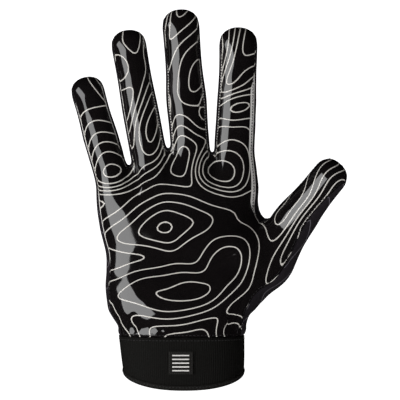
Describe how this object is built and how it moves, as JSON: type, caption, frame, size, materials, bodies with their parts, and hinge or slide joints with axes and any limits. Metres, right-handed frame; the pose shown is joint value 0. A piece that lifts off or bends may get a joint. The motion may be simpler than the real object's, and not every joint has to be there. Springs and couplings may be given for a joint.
{
  "type": "football receiver glove",
  "caption": "Right-hand grip glove for catching: smooth printed palm, knit back, finger gussets and an elastic pull-on cuff, in the shape a hand gives it.",
  "frame": {"origin": "middle of the wrist opening, level with the lowest point of the hem on the palm side", "axes": "+Z from the wrist up to the fingertips, +X towards the thumb, the palm faces -Y and the back +Y"},
  "size_m": [0.1583, 0.0545, 0.2194],
  "materials": {
    "grip_palm": "glossy black grip coat printed with thin pale contour lines",
    "back_knit": "matt black stretch knit with dim grey contour lines",
    "gusset_knit": "matt black stretch knit",
    "cuff_elastic": "matt black fine-ribbed elastic",
    "hem_tape": "matt black stitched binding",
    "label_patch": "smooth black patch with no words"
  },
  "bodies": {
    "root": {"palm_panel": "grip_palm", "back_panel": "back_knit", "little_ring_gusset": "gusset_knit", "ring_middle_gusset": "gusset_knit", "middle_index_gusset": "gusset_knit", "cuff_band": "cuff_elastic", "hem_binding": "hem_tape", "cuff_label": "label_patch"}
  },
  "joints": []
}
